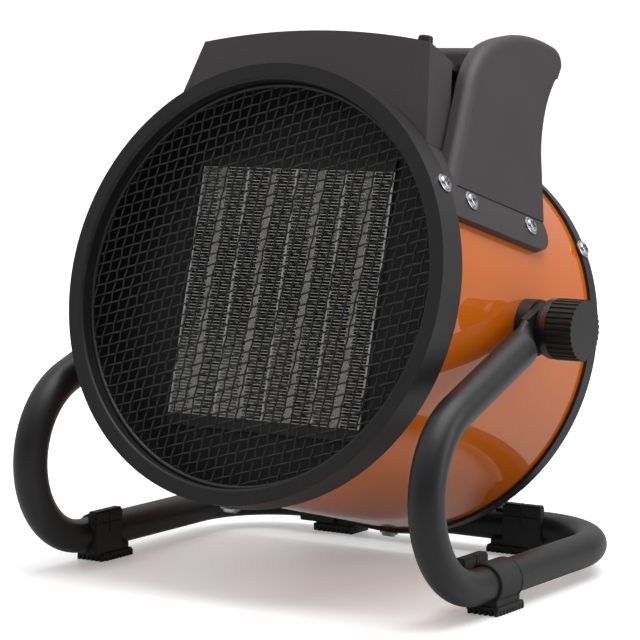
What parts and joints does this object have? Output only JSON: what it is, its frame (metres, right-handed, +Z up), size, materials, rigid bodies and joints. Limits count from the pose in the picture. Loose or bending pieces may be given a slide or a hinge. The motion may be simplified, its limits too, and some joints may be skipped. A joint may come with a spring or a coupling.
{
  "type": "ceramic space heater",
  "caption": "Round drum fan heater with a ceramic element behind a wire grille, a top handle with control knobs, and a tilting bent-tube floor stand.",
  "frame": {"origin": "on the floor, below the middle of the whole heater in its resting pose", "axes": "+Z up, the heater blows towards -Y and slightly upwards, X across the drum along the tilt axis"},
  "size_m": [0.2246, 0.1843, 0.2277],
  "materials": {
    "ring_paint": "satin black enamel on pressed steel",
    "grille_wire": "black coated wire",
    "drum_paint": "glossy orange enamel",
    "screw_steel": "bright nickel plate",
    "zinc_steel": "zinc-plated steel",
    "laminations": "steel laminations",
    "bush_bronze": "sintered bronze",
    "ceramic": "ceramic heating strips in pale metal-clad insulation",
    "fin_aluminium": "bare corrugated aluminium",
    "terminal_brass": "brass tabs",
    "holder_plastic": "heat-resistant moulding",
    "fan_plastic": "glass-filled moulding",
    "housing_plastic": "finely textured dark grey moulding",
    "knob_plastic": "black moulding",
    "insert_steel": "turned steel",
    "foot_rubber": "black rubber",
    "stand_paint": "black powder coat"
  },
  "bodies": {
    "stand": {"stand_tube": "stand_paint", "foot_front_left": "foot_rubber", "foot_front_right": "foot_rubber", "foot_rear_left": "foot_rubber", "foot_rear_right": "foot_rubber"},
    "heater": {"cable_gland": "foot_rubber", "ceramic_strips": "ceramic", "clamp_washers": "ring_paint", "control_housing": "housing_plastic", "control_panel": "housing_plastic", "drum_shell": "drum_paint", "element_baffle": "ring_paint", "element_holder_bottom": "holder_plastic", "element_holder_top": "holder_plastic", "element_sides": "fin_aluminium", "element_terminals": "terminal_brass", "fascia": "housing_plastic", "fin_dividers": "fin_aluminium", "front_grille": "grille_wire", "front_ring": "ring_paint", "front_ring_screws": "screw_steel", "handle_grip": "housing_plastic", "handle_shell": "housing_plastic", "heating_fin_1a": "fin_aluminium", "heating_fin_1b": "fin_aluminium", "heating_fin_2a": "fin_aluminium", "heating_fin_2b": "fin_aluminium", "heating_fin_3a": "fin_aluminium", "heating_fin_3b": "fin_aluminium", "heating_fin_4a": "fin_aluminium", "heating_fin_4b": "fin_aluminium", "mode_switch": "holder_plastic", "motor_bracket": "zinc_steel", "motor_bush_front": "bush_bronze", "motor_bush_rear": "bush_bronze", "motor_end_cap": "zinc_steel", "motor_housing": "zinc_steel", "motor_stator": "laminations", "pivot_bolts": "zinc_steel", "pivot_plates": "zinc_steel", "pivot_spacers": "knob_plastic", "rear_grille": "grille_wire", "rear_ring": "ring_paint", "rear_ring_screws": "screw_steel", "saddle_screws": "screw_steel", "terminal_block": "holder_plastic", "thermal_cutout": "holder_plastic", "thermostat": "holder_plastic", "wire_grommet": "foot_rubber"},
    "fan": {"fan_impeller": "fan_plastic", "motor_shaft": "zinc_steel", "motor_rotor": "laminations", "impeller_nut": "screw_steel"},
    "clamp_left": {"clamp_knob_left": "knob_plastic", "clamp_insert_left": "insert_steel"},
    "clamp_right": {"clamp_knob_right": "knob_plastic", "clamp_insert_right": "insert_steel"},
    "thermostat_dial": {"thermostat_knob": "knob_plastic"},
    "mode_dial": {"mode_knob": "knob_plastic"}
  },
  "joints": [
    {"name": "heater_tilt", "type": "hinge", "parent": "stand", "child": "heater", "pos_m": [0, 0.01115, 0.1077], "axis": [1, 0, 0], "range_deg": [-75.3, 14.7]},
    {"name": "fan_spin", "type": "hinge", "parent": "heater", "child": "fan", "pos_m": [0, 0.03243, 0.10212], "axis": [0, 0.9673, -0.2538], "continuous": true},
    {"name": "clamp_left_turn", "type": "hinge", "parent": "heater", "child": "clamp_left", "pos_m": [-0.105, 0.01115, 0.1077], "axis": [-1, 0, 0], "range_deg": [0, 360]},
    {"name": "clamp_right_turn", "type": "hinge", "parent": "heater", "child": "clamp_right", "pos_m": [0.105, 0.01115, 0.1077], "axis": [1, 0, 0], "range_deg": [0, 360]},
    {"name": "thermostat_turn", "type": "hinge", "parent": "heater", "child": "thermostat_dial", "pos_m": [0.0315, 0.01723, 0.21362], "axis": [0, -0.2538, -0.9673], "range_deg": [0, 270]},
    {"name": "mode_turn", "type": "hinge", "parent": "heater", "child": "mode_dial", "pos_m": [-0.0315, 0.01723, 0.21362], "axis": [0, -0.2538, -0.9673], "range_deg": [0, 135]}
  ]
}
